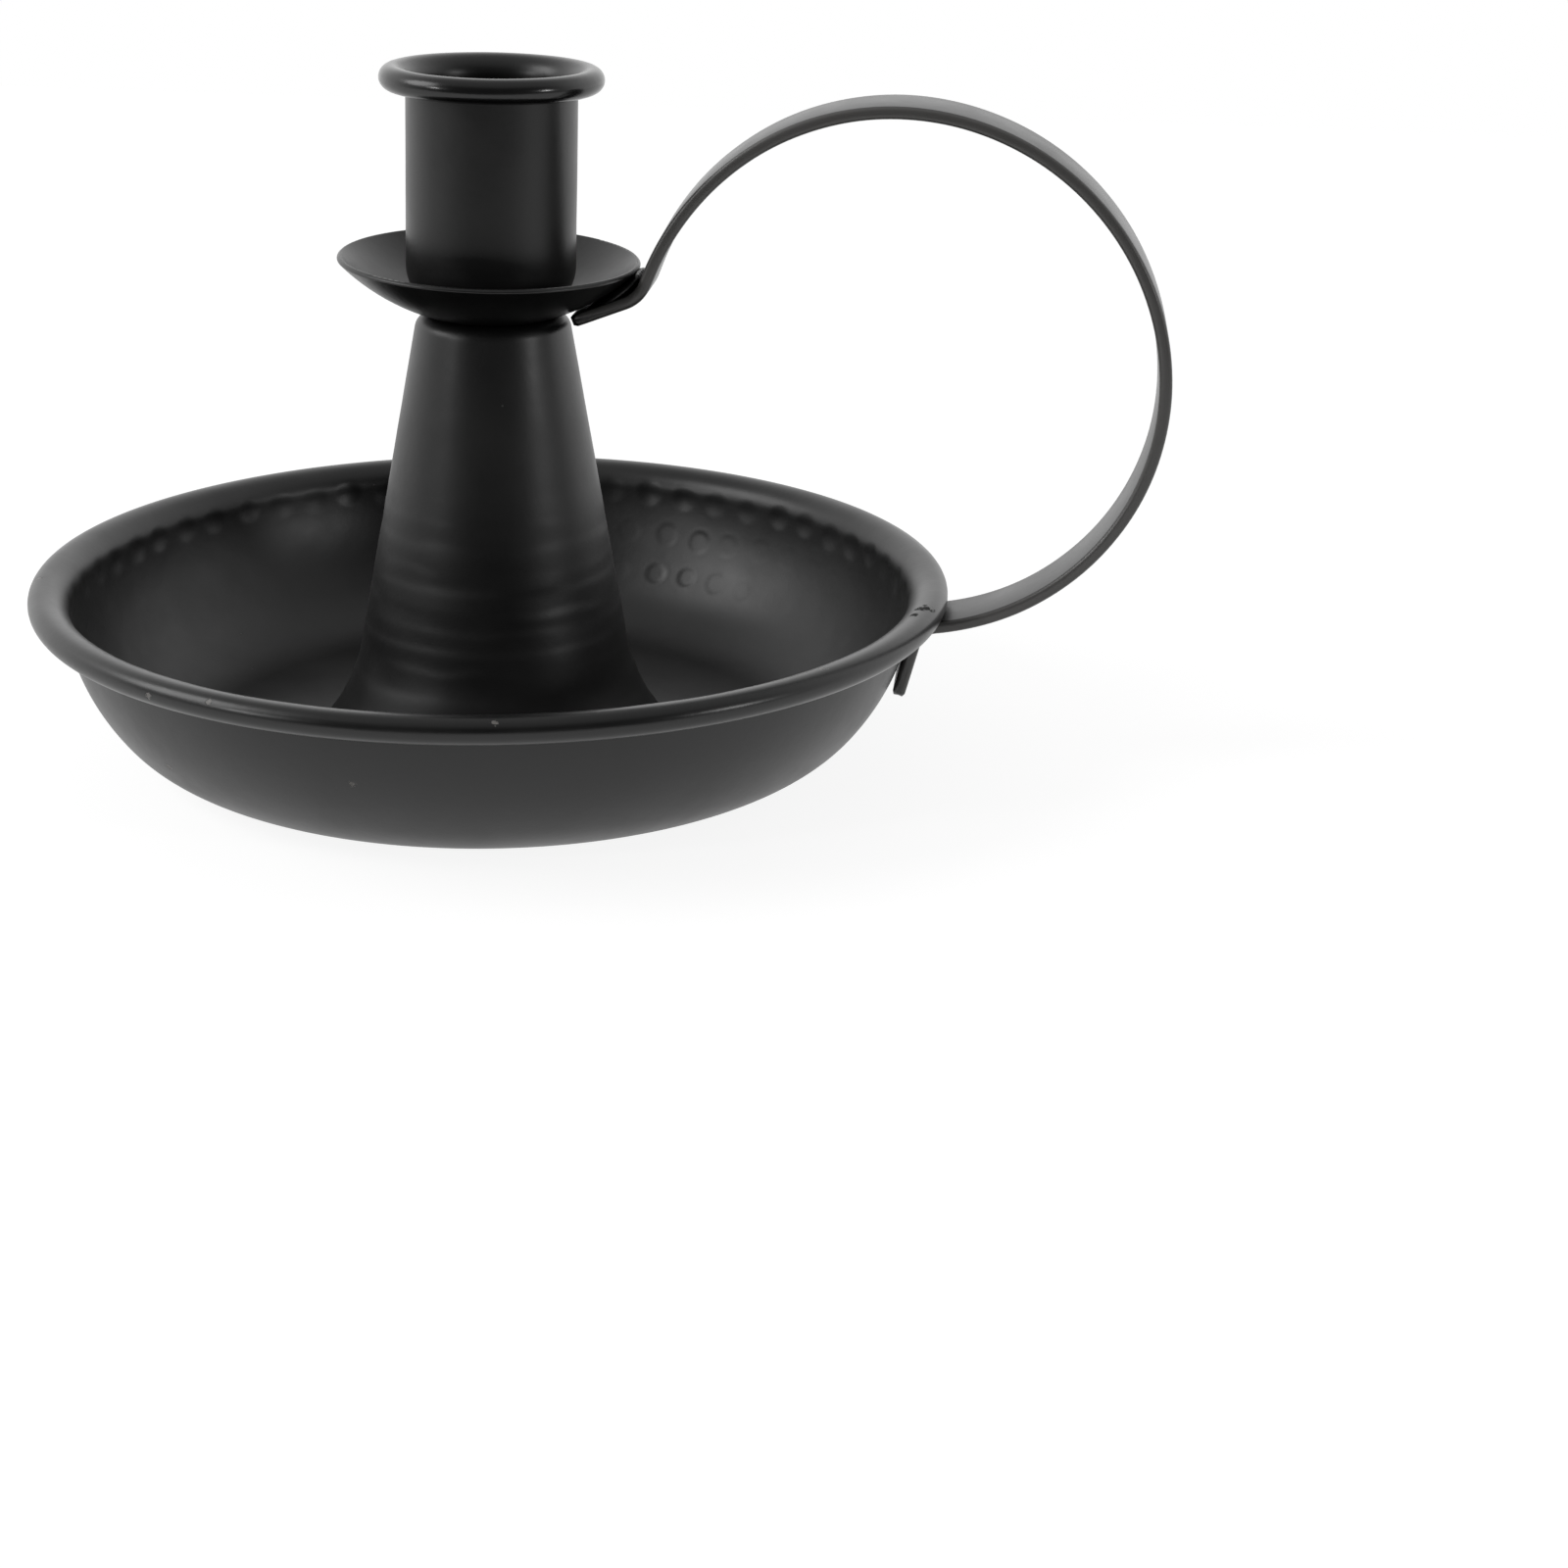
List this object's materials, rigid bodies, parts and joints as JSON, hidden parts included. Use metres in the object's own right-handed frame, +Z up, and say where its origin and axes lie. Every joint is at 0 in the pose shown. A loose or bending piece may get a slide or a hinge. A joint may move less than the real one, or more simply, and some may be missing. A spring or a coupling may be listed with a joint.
{
  "type": "chamberstick with finger loop",
  "caption": "Chamberstick with a round bowl, a cone column, a dished drip pan, a candle socket and a strap bent to a finger loop, in black steel.",
  "frame": {"origin": "on the table, under the middle of the bowl, in the plane of the bowl's flat base", "axes": "+Z up along the column, +X from the column towards the finger loop, +Y completes the right-handed frame"},
  "size_m": [0.1651, 0.1344, 0.1004],
  "materials": {
    "black_coat": "satin",
    "weld": "satin",
    "fastener_steel": "satin"
  },
  "bodies": {
    "root": {"bowl": "black_coat", "column": "black_coat", "drip_pan": "black_coat", "candle_socket": "black_coat", "handle": "black_coat", "drip_pan_weld": "weld", "rim_weld": "weld", "tie_screw": "fastener_steel", "socket_washer": "fastener_steel", "base_washer": "fastener_steel", "lock_washer": "fastener_steel", "hex_nut": "fastener_steel"}
  },
  "joints": []
}
